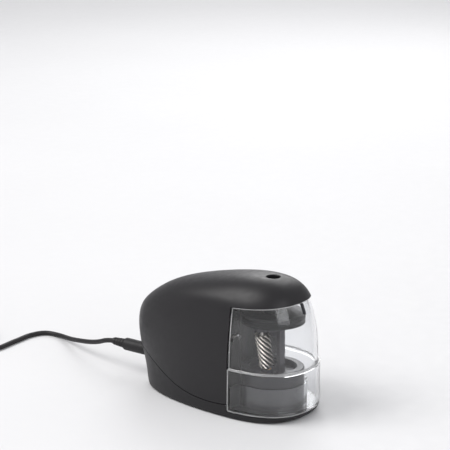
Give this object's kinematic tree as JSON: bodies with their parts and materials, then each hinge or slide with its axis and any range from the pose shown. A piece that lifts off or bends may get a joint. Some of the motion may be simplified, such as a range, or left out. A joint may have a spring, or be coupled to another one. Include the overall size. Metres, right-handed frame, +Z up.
{
  "type": "electric pencil sharpener",
  "caption": "Desktop electric pencil sharpener with a smooth black housing, a clear pull-out shavings bin, a spiral cutter on a planetary carrier, and a plugged-in lead with a wall adapter.",
  "frame": {"origin": "middle of the body's footprint, at the height of the table", "axes": "+Z up, -Y to the front where the bin pulls out, +X to the right as seen from the front"},
  "size_m": [0.0809, 0.3871, 0.086],
  "materials": {
    "housing_black": "fine moulded texture, charcoal black",
    "base_black": "fine moulded texture, charcoal black",
    "inner_black": "satin moulded plastic",
    "switch_black": "moulded switch and socket bodies",
    "lever_grey": "moulded acetal",
    "pull_grey": "moulded finger rib",
    "clear_plastic": "clear moulded styrene with a faint grey-blue tint",
    "rubber_black": "soft rubber",
    "gear_white": "natural acetal",
    "gear_steel": "sintered steel",
    "cutter_steel": "ground tool steel",
    "steel_bright": "bright turned steel",
    "steel_zinc": "zinc-plated steel",
    "bronze": "sintered bronze and brass",
    "magnet_grey": "ferrite",
    "lamination_grey": "laminated iron",
    "board_green": "circuit board laminate",
    "capacitor_sleeve": "shrink sleeve",
    "lead_black": "flexible black vinyl",
    "tie_black": "nylon tie",
    "adapter_black": "moulded adapter case"
  },
  "bodies": {
    "housing": {"upper_housing": "housing_black", "base_housing": "base_black", "rubber_feet": "rubber_black", "housing_screws": "steel_zinc", "bulkhead": "inner_black", "head_housing": "inner_black", "pencil_guide": "inner_black", "ring_gear": "gear_white", "gearbox_base": "inner_black", "gearbox_cover": "inner_black", "gearbox_screws": "steel_zinc", "carrier_bush": "bronze", "thrust_washer": "gear_white", "idler_axle": "steel_bright", "motor_can": "steel_zinc", "motor_magnets": "magnet_grey", "motor_end_cap": "inner_black", "motor_bearings": "bronze", "motor_brushes": "bronze", "motor_terminals": "bronze", "motor_screws": "steel_zinc", "motor_bracket": "steel_zinc", "bracket_screws": "steel_zinc", "start_lever_pin": "steel_bright", "start_switch": "switch_black", "interlock_switch": "switch_black", "circuit_board": "board_green", "dc_jack": "switch_black", "jack_contact": "steel_bright", "capacitor": "capacitor_sleeve", "plug_body": "lead_black", "plug_relief": "lead_black", "plug_barrel": "steel_bright", "power_cord": "lead_black", "cord_tail": "lead_black", "cord_coil": "lead_black", "coil_tie": "tie_black", "adapter_back": "adapter_black", "adapter_face": "adapter_black", "adapter_pins": "steel_bright", "adapter_relief": "lead_black"},
    "bin": {"shavings_bin": "clear_plastic", "bin_pull": "pull_grey"},
    "carrier": {"cutter_carrier": "inner_black", "carrier_gear": "gear_white", "cutter_bushes": "bronze"},
    "cutter": {"helical_cutter": "cutter_steel", "cutter_arbor": "steel_bright", "cutter_pinion": "gear_steel"},
    "idler": {"idler_gear": "gear_white"},
    "rotor": {"motor_shaft": "steel_bright", "motor_rotor": "lamination_grey", "commutator": "bronze", "motor_pinion": "bronze"},
    "start_lever": {"start_lever": "lever_grey"},
    "interlock_plunger": {"interlock_plunger": "inner_black"}
  },
  "joints": [
    {"name": "bin_slide", "type": "slide", "parent": "housing", "child": "bin", "axis": [0, -1, 0], "range_m": [0, 0.075]},
    {"name": "motor_spin", "type": "hinge", "parent": "housing", "child": "rotor", "pos_m": [0, 0.0003, 0], "axis": [0, 0, 1], "continuous": true},
    {"name": "idler_spin", "type": "hinge", "parent": "housing", "child": "idler", "pos_m": [0, -0.0157, 0], "axis": [0, 0, 1], "continuous": true},
    {"name": "carrier_spin", "type": "hinge", "parent": "housing", "child": "carrier", "pos_m": [0, -0.0373, 0], "axis": [0, 0, 1], "continuous": true},
    {"name": "cutter_spin", "type": "hinge", "parent": "carrier", "child": "cutter", "pos_m": [-0.00462, -0.03606, 0.03], "axis": [-0.176, 0.0472, 0.9833], "continuous": true},
    {"name": "start_lever_turn", "type": "hinge", "parent": "housing", "child": "start_lever", "pos_m": [0, -0.0277, 0.074], "axis": [1, 0, 0], "range_deg": [0, 16], "stiffness_Nm_per_rad": 0.002, "springref_deg": -20.05},
    {"name": "interlock_press", "type": "slide", "parent": "housing", "child": "interlock_plunger", "axis": [0, -1, 0], "range_m": [0, 0.0015]}
  ],
  "couplings": [
    {"joint": "idler_spin", "follows": "motor_spin", "ratio": -0.33333},
    {"joint": "carrier_spin", "follows": "motor_spin", "ratio": 0.11667},
    {"joint": "cutter_spin", "follows": "motor_spin", "ratio": -0.4375},
    {"joint": "interlock_press", "follows": "bin_slide", "ratio": 0.02}
  ]
}
